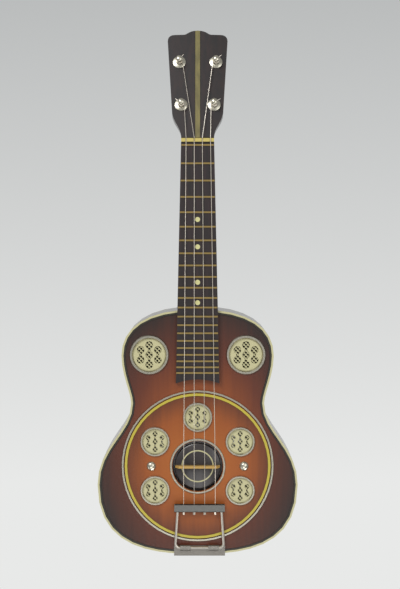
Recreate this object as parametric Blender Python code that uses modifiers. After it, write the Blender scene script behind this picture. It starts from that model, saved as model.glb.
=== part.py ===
"""A resonator cavaquinho with its strings on, held upright as on a wall hanger.

Metres. +Z runs up the neck, the strings face -Y, and +X is to the right of someone who
looks at the strings. The origin is on the centre line, at the head's side of the nut,
in the plane where the fingerboard meets the neck and the soundboard.
Heights named here are heights in front of that plane, so they point along -Y.
"""
import math

import bmesh
import bpy
from mathutils import Matrix, Vector

# Fit between pieces that touch
CLEAR = 0.0003

# Strings, nut and frets
SCALE_LENGTH = 0.340
FRET_COUNT = 21
JOIN_FRET = 12
NUT_THICK = 0.0037
NUT_HEIGHT = 0.0080
NUT_SLOT_FLOOR = 0.0063
NUT_SLOT_WIDTH = 0.0014
NUT_STRING_SPACING = 0.0085
NUT_STRING_SHIFT = 0.0007
ZERO_FRET_SPACE = 0.0034
FRET_CROWN_WIDTH = 0.0020
FRET_CROWN_HEIGHT = 0.0009
FRET_TANG_DEPTH = 0.0012
STRING_RADIUS = 0.0003
BALL_END_RADIUS = 0.0014
BALL_END_LENGTH = 0.0026

# Fingerboard and neck
BOARD_THICK = 0.0055
BOARD_WIDTH_NUT = 0.0346
BOARD_WIDTH_END = 0.0460
BOARD_PAST_LAST_FRET = 0.0111
BOARD_END_HOLLOW = 0.0042
NECK_THICK_NUT = 0.0145
NECK_THICK_BODY = 0.0170
HEEL_DEPTH = 0.0600
HEEL_LENGTH = 0.0300
HEEL_TAPER = 0.42

# Head
HEAD_TILT = math.radians(17.0)
HEAD_LENGTH = 0.1220
HEAD_CROWN_RISE = 0.0051
HEAD_CROWN_WIDTH = 0.0290
HEAD_APEX_WIDTH = 0.0030
HEAD_SHOULDER_WIDTH = 0.0490
HEAD_TOP_WIDTH = 0.0638
HEAD_CORNER_DROP = 0.0074
HEAD_LOW_WIDTH = 0.0538
HEAD_FLARE_LENGTH = 0.0280
HEAD_THICK = 0.0140
VENEER_THICK = 0.0015
STRIPE_WIDTH = 0.0050
STRIPE_THICK = 0.0007

# Tuning pegs, two low and two high on the head
PEG_LOW_AT = 0.0370
PEG_HIGH_AT = 0.0854
PEG_LOW_X = 0.0174
PEG_HIGH_X = 0.0195
SHAFT_RADIUS = 0.0029
FLANGE_RADIUS = 0.0068
FLANGE_HEIGHT = 0.0014
POST_HEIGHT = 0.0104
POST_RADIUS = 0.0033
POST_WAIST_RADIUS = 0.0026
POST_HOLE_RADIUS = 0.0008
BUTTON_LENGTH = 0.0190
BUTTON_WIDTH = 0.0200
BUTTON_THICK = 0.0085

# String windings on the posts
COIL_TURNS = 2
COIL_PITCH = 0.0011
COIL_RISE = 0.0022
COIL_SEAT = 0.0012
COIL_POINTS_PER_TURN = 16
FREE_END_REACH = 0.0072
FREE_END_ANGLES = (149.0, 50.0, 40.0, 29.0)

# Body outline, from the tail end to the neck
TAIL_TO_LOWER = 0.0739
LOWER_TO_WAIST = 0.0867
WAIST_TO_UPPER = 0.0505
UPPER_TO_TOP = 0.0489
LOWER_WIDTH = 0.2120
WAIST_WIDTH = 0.1405
UPPER_WIDTH = 0.1607
BODY_DEPTH = 0.0700
JOIN_TO_BODY = 0.0023
OUTLINE_STEPS = (10, 8, 6, 8)

# How full the outline's curves are, as shares of each stretch
TAIL_FULLNESS = (0.414, 0.950)
LOWER_FULLNESS = (0.471, 0.350)
UPPER_FULLNESS = (0.214, 0.414)
TOP_FULLNESS = (0.592, 0.693)

# Body shells and trim
TOP_THICK = 0.0025
BACK_THICK = 0.0025
SIDE_THICK = 0.0022
BINDING_WIDTH = 0.0020
PURFLING_WIDTH = 0.0017
LINING_WIDTH = 0.0060
LINING_DEPTH = 0.0120
LINING_EDGE = 0.0040
NECK_BLOCK_WIDTH = 0.0480
NECK_BLOCK_THICK = 0.0260
TAIL_BLOCK_WIDTH = 0.0700
TAIL_BLOCK_THICK = 0.0075

# Resonator under its cover
SADDLE_SHORT_OF_SCALE = 0.0019
WELL_OUTER_RADIUS = 0.0770
WELL_WALL = 0.0040
WELL_LEDGE_WIDTH = 0.0050
WELL_LEDGE_THICK = 0.0060
CONE_RIM_DEPTH = 0.0190
CONE_SHEET = 0.0007
CONE_RIM_WIDTH = 0.0045
BISCUIT_RADIUS = 0.0245
BISCUIT_THICK = 0.0070
BISCUIT_HEIGHT = 0.0026
SADDLE_LENGTH = 0.0470
SADDLE_TOP_LENGTH = 0.0400
SADDLE_THICK = 0.0024
SADDLE_HEIGHT = 0.0110
SADDLE_STRING_SPACING = 0.0111
SADDLE_STRING_SHIFT = 0.0019

# Cover plate
COVER_RADIUS = 0.0742
COVER_THICK = 0.0020
COVER_PURFLING_WIDTH = 0.0026
COVER_RIM_GAP = 0.0013
COVER_RIM_WIDTH = 0.0018
COVER_RIM_HEIGHT = 0.0014
COVER_HOLE_RADIUS = 0.0268
CENTRE_RING_RADIUS = 0.0294
CENTRE_RING_WIDTH = 0.0020
CENTRE_RING_HEIGHT = 0.0012
COVER_SCREW_AT = 0.0490
SCREW_RADIUS = 0.0015
SCREW_HEAD_RADIUS = 0.0031
SCREW_LENGTH = 0.0060
CUP_RADIUS = 0.0049
CUP_HEIGHT = 0.0013

# Grilles
COVER_GRILLE_AT = 0.0519
COVER_GRILLE_ANGLES = (210.0, 150.0, 90.0, 30.0, 330.0)
COVER_GRILLE_RADIUS = 0.0139
COVER_BEZEL_RADIUS = 0.0159
COVER_BEZEL_WIDTH = 0.0030
COVER_LOBE_PITCH = 0.0084
COVER_LOBE_RADIUS = 0.0026
COVER_NECK_WIDTH = 0.0018
UPPER_GRILLE_X = 0.0511
UPPER_GRILLE_FROM_TOP = 0.0481
UPPER_GRILLE_RADIUS = 0.0181
UPPER_BEZEL_RADIUS = 0.0211
UPPER_BEZEL_WIDTH = 0.0040
UPPER_LOBE_PITCH = 0.0105
UPPER_LOBE_RADIUS = 0.0041
UPPER_NECK_WIDTH = 0.0028
GRILLE_THICK = 0.0010
GRILLE_RECESS = 0.0006
BEZEL_HEIGHT = 0.0015

# Tailpiece
TAIL_SHIFT = 0.0020
TAIL_AXIS_FROM_END = 0.0075
TAIL_SHEET = 0.0012
TAIL_PLATE_WIDTH = 0.0540
TAIL_SKIRT_DEPTH = 0.0320
BAIL_RADIUS = 0.0015
EAR_BORE_RADIUS = 0.0019
EAR_INNER_X = 0.0094
EAR_OUTER_X = 0.0204
BAIL_WIDTH_LOW = 0.0508
BAIL_WIDTH_HIGH = 0.0454
BAIL_CORNER = 0.0048
BAR_FROM_AXIS = 0.0431
BAR_LENGTH = 0.0532
BAR_TALL = 0.0079
BAR_SHEET = 0.0010


# Heights and places that follow from the sizes above
def fret_z(number):
    """Height up the neck of a fret's middle, from the zero fret down to the last one."""
    zero = -(NUT_THICK + ZERO_FRET_SPACE)
    return zero - SCALE_LENGTH * (1.0 - 2.0 ** (-number / 12.0))


BODY_TOP_Z = fret_z(JOIN_FRET) - JOIN_TO_BODY
BODY_END_Z = BODY_TOP_Z - (UPPER_TO_TOP + WAIST_TO_UPPER + LOWER_TO_WAIST + TAIL_TO_LOWER)
SADDLE_Z = fret_z(0) - SCALE_LENGTH + SADDLE_SHORT_OF_SCALE
BOARD_TOP_Z = -NUT_THICK - CLEAR
BOARD_END_Z = fret_z(FRET_COUNT) - BOARD_PAST_LAST_FRET
BOARD_FACE = CLEAR + BOARD_THICK
CROWN_TOP = BOARD_FACE + FRET_CROWN_HEIGHT
STRING_AT_ZERO = CROWN_TOP + CLEAR + STRING_RADIUS
STRING_AT_NUT = NUT_SLOT_FLOOR + CLEAR + STRING_RADIUS
STRING_AT_SADDLE = SADDLE_HEIGHT + CLEAR + STRING_RADIUS
VENEER_FACE = CLEAR + VENEER_THICK
FLANGE_TOP = VENEER_FACE + CLEAR + FLANGE_HEIGHT
POST_SHOULDER = FLANGE_TOP + CLEAR
POST_TOP = POST_SHOULDER + POST_HEIGHT
COIL_LOW = POST_SHOULDER + COIL_SEAT + STRING_RADIUS + CLEAR
COIL_RADIUS = POST_WAIST_RADIUS + CLEAR + STRING_RADIUS
HOLE_LEVEL = COIL_LOW + COIL_TURNS * COIL_PITCH + COIL_RISE
COVER_FACE = CLEAR + COVER_THICK
PURFLING_OUTER = COVER_RADIUS + CLEAR + COVER_PURFLING_WIDTH
RIM_INNER = PURFLING_OUTER + COVER_RIM_GAP
RIM_OUTER = RIM_INNER + COVER_RIM_WIDTH
EAR_RADIUS = EAR_BORE_RADIUS + TAIL_SHEET
TAIL_TAB_FACE = CLEAR + TAIL_SHEET
TAIL_AXIS_HEIGHT = TAIL_TAB_FACE + EAR_RADIUS - TAIL_SHEET * 0.25
TAIL_AXIS_Z = BODY_END_Z + TAIL_AXIS_FROM_END
TAIL_RISE = math.atan2(STRING_AT_SADDLE - TAIL_AXIS_HEIGHT, SADDLE_Z - TAIL_AXIS_Z)

# Lowest string first: which post takes it, as left or right and low or high
PEGS = (
    (-PEG_LOW_X, PEG_LOW_AT),
    (-PEG_HIGH_X, PEG_HIGH_AT),
    (PEG_HIGH_X, PEG_HIGH_AT),
    (PEG_LOW_X, PEG_LOW_AT),
)


def frame(x_axis, y_axis, origin):
    """Placement whose own X and Y point as given, with its Z at right angles to both."""
    x_axis = Vector(x_axis)
    y_axis = Vector(y_axis)
    turn = Matrix((x_axis, y_axis, x_axis.cross(y_axis))).transposed().to_4x4()
    return Matrix.Translation(Vector(origin)) @ turn


def facing(tilt, origin):
    """Placement in which Y runs up a plane leaning back by tilt, and Z out of its front."""
    return frame((1, 0, 0), (0, math.sin(tilt), math.cos(tilt)), origin)


FRONT = facing(0.0, (0, 0, 0))
HEAD = facing(HEAD_TILT, (0, 0, 0))
TAIL = facing(-TAIL_RISE, (TAIL_SHIFT, -TAIL_AXIS_HEIGHT, TAIL_AXIS_Z))
SIDEWAYS = frame((0, -1, 0), (0, 0, 1), (0, 0, 0))
ENDWAYS = frame((1, 0, 0), (0, -1, 0), (0, 0, 0))


# Scene, collections and materials
def clear_scene():
    for obj in list(bpy.data.objects):
        bpy.data.objects.remove(obj, do_unlink=True)


def new_collection(name):
    collection = bpy.data.collections.new(name)
    bpy.context.scene.collection.children.link(collection)
    return collection


def material(name, colour, roughness, metallic=0.0):
    """Principled material from an sRGB hex colour."""
    mat = bpy.data.materials.new(name)
    mat.use_nodes = True
    bsdf = mat.node_tree.nodes["Principled BSDF"]
    channels = [int(colour[i:i + 2], 16) / 255.0 for i in (1, 3, 5)]
    linear = [c / 12.92 if c <= 0.04045 else ((c + 0.055) / 1.055) ** 2.4 for c in channels]
    bsdf.inputs["Base Color"].default_value = (*linear, 1.0)
    bsdf.inputs["Roughness"].default_value = roughness
    bsdf.inputs["Metallic"].default_value = metallic
    mat.diffuse_color = (*linear, 1.0)
    return mat


clear_scene()
PARTS = new_collection("cavaquinho")
CUTTERS = new_collection("cavaquinho_cutters")


def add_part(name, data, mat, place=None):
    """Link one named piece with its own material."""
    obj = bpy.data.objects.new(name, data)
    PARTS.objects.link(obj)
    data.materials.append(mat)
    obj.matrix_world = place if place is not None else Matrix()
    return obj


def add_cutter(name, data, place=None):
    """Link a shape that only cuts or joins others and isn't built itself."""
    obj = bpy.data.objects.new(name, data)
    CUTTERS.objects.link(obj)
    obj.matrix_world = place if place is not None else Matrix()
    obj.display_type = "WIRE"
    obj.hide_render = True
    return obj


# Ways of making pieces
def flat_data(name, loops, depth):
    """Curve data for a flat outline with holes, as thick as depth."""
    curve = bpy.data.curves.new(name, "CURVE")
    curve.dimensions = "2D"
    curve.fill_mode = "BOTH"
    curve.extrude = depth / 2.0
    for loop in loops:
        spline = curve.splines.new("POLY")
        spline.points.add(len(loop) - 1)
        for point, (across, along) in zip(spline.points, loop):
            point.co = (across, along, 0.0, 1.0)
        spline.use_cyclic_u = True
    return curve


def flat(name, loops, low, high, mat, place=FRONT):
    """Plate with holes, between two heights along its placement's Z."""
    data = flat_data(name, loops, high - low)
    return add_part(name, data, mat, place @ Matrix.Translation((0, 0, (low + high) / 2.0)))


def as_mesh(obj):
    """Turn a curve piece into a welded mesh piece, so that it can be cut."""
    bpy.context.view_layer.update()
    evaluated = obj.evaluated_get(bpy.context.evaluated_depsgraph_get())
    mesh = bpy.data.meshes.new_from_object(evaluated)
    bm = bmesh.new()
    bm.from_mesh(mesh)
    bmesh.ops.remove_doubles(bm, verts=bm.verts, dist=0.000001)
    bmesh.ops.recalc_face_normals(bm, faces=bm.faces)
    bm.to_mesh(mesh)
    bm.free()
    name = obj.name
    place = obj.matrix_world.copy()
    mat = obj.data.materials[0]
    bpy.data.objects.remove(obj, do_unlink=True)
    mesh.materials.clear()
    return add_part(name, mesh, mat, place)


def turned(name, profile, steps, place, mat=None):
    """Turn a profile of (radius, height) points about the placement's Z.

    A ring's profile closes on itself; one that starts on the axis closes there.
    """
    mesh = bpy.data.meshes.new(name)
    ring = profile[0][0] > 0.0
    edges = [(i, i + 1) for i in range(len(profile) - 1)]
    if ring:
        edges.append((len(profile) - 1, 0))
    mesh.from_pydata([(radius, 0.0, height) for radius, height in profile], edges, [])
    if mat is None:
        obj = add_cutter(name, mesh, place)
    else:
        obj = add_part(name, mesh, mat, place)
    screw = obj.modifiers.new("turn", "SCREW")
    screw.axis = "Z"
    screw.angle = math.tau
    screw.steps = steps
    screw.render_steps = steps
    screw.use_merge_vertices = True
    screw.merge_threshold = 0.00001
    screw.use_normal_calculate = False
    return obj


def shade(obj, degrees=40.0):
    """Smooth shading with sharp edges, for a piece that is already a mesh."""
    obj.data.shade_smooth()
    obj.data.set_sharp_from_angle(angle=math.radians(degrees))
    return obj


def tube(name, points, radius, mat, resolution=1, swell=None):
    """Round wire along world points; swell gives each point's share of the radius."""
    curve = bpy.data.curves.new(name, "CURVE")
    curve.dimensions = "3D"
    curve.bevel_depth = radius
    curve.bevel_resolution = resolution
    curve.use_fill_caps = True
    spline = curve.splines.new("POLY")
    spline.points.add(len(points) - 1)
    for index, (knot, place) in enumerate(zip(spline.points, points)):
        knot.co = (*place, 1.0)
        knot.radius = swell[index] if swell else 1.0
    return add_part(name, curve, mat)


def mesh_from(bm, name):
    """Finish a bmesh as mesh data with its faces pointing out."""
    bmesh.ops.recalc_face_normals(bm, faces=bm.faces)
    mesh = bpy.data.meshes.new(name)
    bm.to_mesh(mesh)
    bm.free()
    return mesh


def add_prism(bm, loop, low, high, place):
    """Extrude a closed outline between two heights along the placement's Z."""
    corners = [bm.verts.new(place @ Vector((across, along, low))) for across, along in loop]
    face = bm.faces.new(corners)
    grown = bmesh.ops.extrude_face_region(bm, geom=[face])["geom"]
    moved = [item for item in grown if isinstance(item, bmesh.types.BMVert)]
    rise = place.to_3x3() @ Vector((0, 0, high - low))
    bmesh.ops.translate(bm, verts=moved, vec=rise)


def prism(name, loop, low, high, mat, place=FRONT):
    bm = bmesh.new()
    add_prism(bm, loop, low, high, place)
    return add_part(name, mesh_from(bm, name), mat)


def add_cylinder(bm, radius, low, high, place, sides):
    middle = place @ Matrix.Translation((0, 0, (low + high) / 2.0))
    bmesh.ops.create_cone(bm, cap_ends=True, segments=sides, radius1=radius, radius2=radius,
                          depth=high - low, matrix=middle)


def add_box(bm, size, middle):
    bmesh.ops.create_cube(bm, size=1.0, matrix=middle @ Matrix.Diagonal((*size, 1.0)))


def drills(name, centres, radius, low, high, place, sides=12):
    """One cutter with a round bore at each centre."""
    bm = bmesh.new()
    for across, along in centres:
        add_cylinder(bm, radius, low, high, place @ Matrix.Translation((across, along, 0)), sides)
    return add_cutter(name, mesh_from(bm, name))


def combine(obj, other, operation="DIFFERENCE"):
    """Cut, or join on, another shape."""
    boolean = obj.modifiers.new(operation.lower(), "BOOLEAN")
    boolean.operation = operation
    boolean.solver = "EXACT"
    boolean.object = other
    return obj


def loft(name, rings, mat):
    """Skin through closed rings of equal count, with both ends capped."""
    bm = bmesh.new()
    rows = [[bm.verts.new(point) for point in ring] for ring in rings]
    count = len(rows[0])
    for low, high in zip(rows, rows[1:]):
        for i in range(count):
            j = (i + 1) % count
            bm.faces.new((low[i], low[j], high[j], high[i]))
    bm.faces.new(list(reversed(rows[0])))
    bm.faces.new(rows[-1])
    return add_part(name, mesh_from(bm, name), mat)


# Outlines
def circle(radius, steps, centre=(0.0, 0.0)):
    return [(centre[0] + radius * math.cos(math.tau * i / steps),
             centre[1] + radius * math.sin(math.tau * i / steps)) for i in range(steps)]


def bezier(start, first, second, end, steps):
    """Points and unit tangents along a cubic curve, without its last point."""
    out = []
    for i in range(steps):
        t = i / steps
        s = 1.0 - t
        place = (s ** 3 * start + 3 * s * s * t * first + 3 * s * t * t * second + t ** 3 * end)
        slope = (3 * s * s * (first - start) + 6 * s * t * (second - first)
                 + 3 * t * t * (end - second))
        out.append((place, slope.normalized()))
    return out


def half_outline(inset):
    """Right half of the body's edge, moved in by inset, from the tail end to the neck."""
    low = Vector((LOWER_WIDTH / 2, BODY_END_Z + TAIL_TO_LOWER))
    waist = Vector((WAIST_WIDTH / 2, low.y + LOWER_TO_WAIST))
    up = Vector((UPPER_WIDTH / 2, waist.y + WAIST_TO_UPPER))
    tail = Vector((0.0, BODY_END_Z))
    top = Vector((0.0, BODY_TOP_Z))
    along = Vector((0.0, 1.0))
    across = Vector((1.0, 0.0))
    curves = (
        (tail, tail + across * TAIL_FULLNESS[0] * low.x,
         low - along * TAIL_FULLNESS[1] * TAIL_TO_LOWER, low),
        (low, low + along * LOWER_FULLNESS[0] * LOWER_TO_WAIST,
         waist - along * LOWER_FULLNESS[1] * LOWER_TO_WAIST, waist),
        (waist, waist + along * UPPER_FULLNESS[0] * WAIST_TO_UPPER,
         up - along * UPPER_FULLNESS[1] * WAIST_TO_UPPER, up),
        (up, up + along * TOP_FULLNESS[0] * UPPER_TO_TOP,
         top + across * TOP_FULLNESS[1] * up.x, top),
    )
    points = []
    for (a, b, c, d), steps in zip(curves, OUTLINE_STEPS):
        for place, slope in bezier(a, b, c, d, steps):
            inward = Vector((-slope.y, slope.x))
            points.append((place.x + inward.x * inset, place.y + inward.y * inset))
    points.append((0.0, BODY_TOP_Z - inset))
    return points


def outline(inset):
    """The body's whole edge, moved in by inset, as one closed loop."""
    right = half_outline(inset)
    left = [(-x, z) for x, z in reversed(right[1:-1])]
    return right + left


def edge_at(points, across):
    """Heights of the tail edge and the neck edge of a half outline at a distance across."""
    hits = []
    for (x0, z0), (x1, z1) in zip(points, points[1:]):
        if (x0 - across) * (x1 - across) <= 0.0 and x0 != x1:
            hits.append(z0 + (z1 - z0) * (across - x0) / (x1 - x0))
    return min(hits), max(hits)


def half_width_at(points, height):
    """Distance from the centre line to a half outline at a height."""
    hits = []
    for (x0, z0), (x1, z1) in zip(points, points[1:]):
        if (z0 - height) * (z1 - height) <= 0.0 and z0 != z1:
            hits.append(x0 + (x1 - x0) * (height - z0) / (z1 - z0))
    return max(hits)


def band(outer, inner, side):
    """Closed loop between two runs of the same points; side mirrors it."""
    loop = outer + list(reversed(inner))
    return [(side * x, z) for x, z in loop]


def board_half_width(height):
    """Half the fingerboard's width at a height along the neck."""
    share = (BOARD_TOP_Z - height) / (BOARD_TOP_Z - BOARD_END_Z)
    return (BOARD_WIDTH_NUT + (BOARD_WIDTH_END - BOARD_WIDTH_NUT) * share) / 2.0


def head_flare(height):
    """Half the head's width where it swells out of the neck."""
    run = bezier(*flare_handles(), 24)
    points = [(place.x, place.y) for place, slope in run]
    points.append((HEAD_LOW_WIDTH / 2, HEAD_FLARE_LENGTH))
    return half_width_at(points, height)


def flare_handles():
    neck = board_half_width(0.0)
    low = HEAD_LOW_WIDTH / 2
    return (Vector((neck, 0.0)), Vector((neck, HEAD_FLARE_LENGTH * 0.42)),
            Vector((low - (low - neck) * 0.17, HEAD_FLARE_LENGTH * 0.60)),
            Vector((low, HEAD_FLARE_LENGTH)))


def half_head(start):
    """Right half of the head's outline above a height, up to the crown."""
    shoulder = HEAD_LENGTH - HEAD_CROWN_RISE
    side = Vector((HEAD_TOP_WIDTH / 2, shoulder - HEAD_CORNER_DROP))
    corner = Vector((HEAD_SHOULDER_WIDTH / 2, shoulder))
    crown_foot = Vector((HEAD_CROWN_WIDTH / 2, shoulder + CLEAR))
    apex = Vector((0.0, HEAD_LENGTH))
    run = [place for place, slope in bezier(*flare_handles(), 8) if place.y > start + CLEAR]
    run.append(Vector((HEAD_LOW_WIDTH / 2, HEAD_FLARE_LENGTH)))
    run += [place for place, slope in bezier(
        side, side + Vector((0, HEAD_CORNER_DROP * 0.6)),
        corner + Vector(((side.x - corner.x) * 0.68, 0)), corner, 5)]
    run.append(corner)
    run += [place for place, slope in bezier(
        crown_foot, crown_foot - Vector((HEAD_CROWN_WIDTH * 0.12, 0)),
        apex + Vector((HEAD_CROWN_WIDTH * 0.33, 0)), apex, 6)]
    points = [(place.x, place.y) for place in run if place.y > start]
    first = head_flare(start) if start < HEAD_FLARE_LENGTH else HEAD_LOW_WIDTH / 2
    return [(first, start)] + points + [(0.0, HEAD_LENGTH)]


def cut_at(points, across):
    """Part of a half outline that lies beyond a distance across, with its end point."""
    kept = []
    for (x0, z0), (x1, z1) in zip(points, points[1:]):
        if x0 >= across:
            kept.append((x0, z0))
        if x0 >= across > x1:
            kept.append((across, z0 + (z1 - z0) * (x0 - across) / (x0 - x1)))
    return kept


# Body box
def swept(name, section, mat):
    """Closed rim round the body, from a section of (inset, height) points."""
    bm = bmesh.new()
    runs = []
    for inset, height in section:
        runs.append([bm.verts.new(FRONT @ Vector((x, z, height))) for x, z in outline(inset)])
    count = len(runs[0])
    for first, second in zip(runs, runs[1:] + runs[:1]):
        for i in range(count):
            j = (i + 1) % count
            bm.faces.new((first[i], first[j], second[j], second[i]))
    return add_part(name, mesh_from(bm, name), mat)


def build_body(wood, cream, dark):
    top_inset = BINDING_WIDTH + CLEAR + PURFLING_WIDTH + CLEAR
    grille_z = BODY_TOP_Z - UPPER_GRILLE_FROM_TOP
    holes = [circle(WELL_OUTER_RADIUS - WELL_WALL, 48, (0.0, SADDLE_Z))]
    for side in (-1, 1):
        holes.append(circle(UPPER_GRILLE_RADIUS + CLEAR, 24, (side * UPPER_GRILLE_X, grille_z)))
    flat("soundboard", [outline(top_inset)] + holes, -TOP_THICK, 0.0, wood["top"])
    flat("back_panel", [outline(BINDING_WIDTH + CLEAR)], -BODY_DEPTH,
         BACK_THICK - BODY_DEPTH, wood["back"])
    flat("top_binding", [outline(0.0), outline(BINDING_WIDTH)], -TOP_THICK, 0.0, cream)
    flat("top_purfling", [outline(BINDING_WIDTH + CLEAR), outline(top_inset - CLEAR)],
         -TOP_THICK, 0.0, dark)
    flat("back_binding", [outline(0.0), outline(BINDING_WIDTH)], -BODY_DEPTH,
         BACK_THICK - BODY_DEPTH, cream)
    build_sides(wood["side"])
    build_blocks(wood["inner"])


def build_sides(mat):
    """Bent ribs with their tapered linings glued on, joined at the tail and the heel."""
    low = BACK_THICK + CLEAR - BODY_DEPTH
    high = -TOP_THICK - CLEAR
    lined = SIDE_THICK + LINING_WIDTH
    swept("sides", [(0.0, high), (0.0, low), (lined, low), (lined, low + LINING_EDGE),
                    (SIDE_THICK, low + LINING_DEPTH), (SIDE_THICK, high - LINING_DEPTH),
                    (lined, high - LINING_EDGE), (lined, high)], mat)


def block_loop(half_width, thick, at_tail):
    """Block that fits against the linings at one end of the body."""
    edge = half_outline(SIDE_THICK + LINING_WIDTH + CLEAR)
    pick = 0 if at_tail else 1
    inward = thick if at_tail else -thick
    across = [half_width * (i / 4.0 - 1.0) for i in range(9)]
    loop = [(x, edge_at(edge, abs(x))[pick]) for x in across]
    inner = edge_at(edge, 0.0)[pick] + inward
    return loop + [(half_width, inner), (-half_width, inner)]


def build_blocks(mat):
    low = BACK_THICK + CLEAR - BODY_DEPTH
    high = -TOP_THICK - CLEAR
    prism("neck_block", block_loop(NECK_BLOCK_WIDTH / 2, NECK_BLOCK_THICK, False),
          low, high, mat)
    prism("tail_block", block_loop(TAIL_BLOCK_WIDTH / 2, TAIL_BLOCK_THICK, True),
          low, high, mat)


# Resonator
def build_resonator(wood, metal, saddle_mat, biscuit_mat):
    centre = FRONT @ Matrix.Translation((0.0, SADDLE_Z, 0.0))
    inner = WELL_OUTER_RADIUS - WELL_WALL
    ledge = -CONE_RIM_DEPTH - CLEAR - CONE_SHEET / 2
    well_top = -TOP_THICK - CLEAR
    turned("soundwell", [
        (inner, well_top), (WELL_OUTER_RADIUS, well_top),
        (WELL_OUTER_RADIUS, ledge - WELL_LEDGE_THICK),
        (inner - WELL_LEDGE_WIDTH, ledge - WELL_LEDGE_THICK),
        (inner - WELL_LEDGE_WIDTH, ledge), (inner, ledge)], 48, centre, wood["inner"])
    build_cone(centre, inner - CLEAR, metal)
    build_biscuit(centre, biscuit_mat)
    build_saddle(saddle_mat)


def build_cone(centre, rim_radius, mat):
    """Spun aluminium cone: a flat seat for the biscuit, a bowed wall and a flat rim."""
    seat = BISCUIT_HEIGHT - BISCUIT_THICK - CLEAR - CONE_SHEET / 2
    foot = rim_radius - CONE_RIM_WIDTH
    drop = -CONE_RIM_DEPTH - seat
    wall = foot - BISCUIT_RADIUS
    profile = [(0.0, seat), (BISCUIT_RADIUS - CONE_RIM_WIDTH, seat)]
    for share, fall in ((0.0, 0.04), (0.25, 0.30), (0.55, 0.64), (0.85, 0.92), (1.0, 1.0)):
        profile.append((BISCUIT_RADIUS + wall * share, seat + drop * fall))
    profile.append((rim_radius, -CONE_RIM_DEPTH))
    mesh = bpy.data.meshes.new("resonator_cone")
    edges = [(i, i + 1) for i in range(len(profile) - 1)]
    mesh.from_pydata([(radius, 0.0, height) for radius, height in profile], edges, [])
    cone = add_part("resonator_cone", mesh, mat, centre)
    screw = cone.modifiers.new("turn", "SCREW")
    screw.steps = 36
    screw.render_steps = 36
    screw.use_merge_vertices = True
    screw.merge_threshold = 0.00001
    sheet = cone.modifiers.new("sheet", "SOLIDIFY")
    sheet.thickness = CONE_SHEET
    sheet.offset = 0.0


def build_biscuit(centre, mat):
    """Turned wooden biscuit with a rounded edge, seated on the cone."""
    edge = BISCUIT_RADIUS * 0.08
    turned("biscuit", [
        (0.0, BISCUIT_HEIGHT), (BISCUIT_RADIUS - edge, BISCUIT_HEIGHT),
        (BISCUIT_RADIUS - edge * 0.3, BISCUIT_HEIGHT - edge * 0.4),
        (BISCUIT_RADIUS, BISCUIT_HEIGHT - edge),
        (BISCUIT_RADIUS, BISCUIT_HEIGHT - BISCUIT_THICK),
        (0.0, BISCUIT_HEIGHT - BISCUIT_THICK)], 32, centre, mat)


def build_saddle(mat):
    """Saddle on the biscuit, with its two ends sloped down."""
    foot = BISCUIT_HEIGHT + CLEAR
    wide = SADDLE_LENGTH / 2
    lift = (SADDLE_HEIGHT - foot) * 0.35
    loop = [(-wide, foot), (wide, foot), (wide, foot + lift),
            (SADDLE_TOP_LENGTH / 2, SADDLE_HEIGHT), (-SADDLE_TOP_LENGTH / 2, SADDLE_HEIGHT),
            (-wide, foot + lift)]
    place = frame((1, 0, 0), (0, -1, 0), (0, 0, SADDLE_Z))
    prism("saddle", loop, -SADDLE_THICK / 2, SADDLE_THICK / 2, mat, place)


# Cover
def cover_grille_centres():
    places = []
    for degrees in COVER_GRILLE_ANGLES:
        turn = math.radians(degrees)
        places.append((COVER_GRILLE_AT * math.cos(turn),
                       SADDLE_Z + COVER_GRILLE_AT * math.sin(turn)))
    return places


def build_cover(cover_mat, rim_mat, yellow, ring_mat, screw_mat):
    centre = (0.0, SADDLE_Z)
    holes = [circle(COVER_HOLE_RADIUS, 36, centre)]
    for place in cover_grille_centres():
        holes.append(circle(COVER_GRILLE_RADIUS + CLEAR, 20, place))
    for side in (-1, 1):
        holes.append(circle(SCREW_RADIUS + CLEAR, 8, (side * COVER_SCREW_AT, SADDLE_Z)))
    flat("cover_plate", [circle(COVER_RADIUS, 56, centre)] + holes, CLEAR, COVER_FACE, cover_mat)
    flat("cover_purfling", [circle(PURFLING_OUTER, 56, centre),
                            circle(COVER_RADIUS + CLEAR, 56, centre)],
         CLEAR, COVER_FACE, yellow)
    flat("cover_rim", [circle(RIM_OUTER, 56, centre), circle(RIM_INNER, 56, centre)],
         CLEAR, CLEAR + COVER_RIM_HEIGHT, rim_mat)
    seat = COVER_FACE + CLEAR
    inner = CENTRE_RING_RADIUS - CENTRE_RING_WIDTH
    soft = CENTRE_RING_WIDTH * 0.25
    turned("centre_ring", [
        (CENTRE_RING_RADIUS - soft, seat + CENTRE_RING_HEIGHT),
        (CENTRE_RING_RADIUS, seat + CENTRE_RING_HEIGHT - soft),
        (CENTRE_RING_RADIUS, seat), (inner, seat),
        (inner, seat + CENTRE_RING_HEIGHT)], 40,
        FRONT @ Matrix.Translation((0, SADDLE_Z, 0)), ring_mat)
    build_cover_screws(screw_mat)


def build_cover_screws(mat):
    """Two oval-head screws, each with its cup washer, through the cover."""
    cup_low = COVER_FACE + CLEAR
    cup_top = cup_low + CUP_HEIGHT
    for name, side in (("cover_screw_left", -1), ("cover_screw_right", 1)):
        place = FRONT @ Matrix.Translation((side * COVER_SCREW_AT, SADDLE_Z, 0))
        turned(name, [
            (0.0, cup_top + CUP_HEIGHT * 0.35), (SCREW_HEAD_RADIUS * 0.6, cup_top + CUP_HEIGHT * 0.2),
            (SCREW_HEAD_RADIUS, cup_top - CUP_HEIGHT * 0.3), (CUP_RADIUS * 0.78, cup_top),
            (CUP_RADIUS, cup_low), (SCREW_RADIUS, cup_low), (SCREW_RADIUS, -SCREW_LENGTH),
            (0.0, -SCREW_LENGTH)], 16, place, mat)


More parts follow.
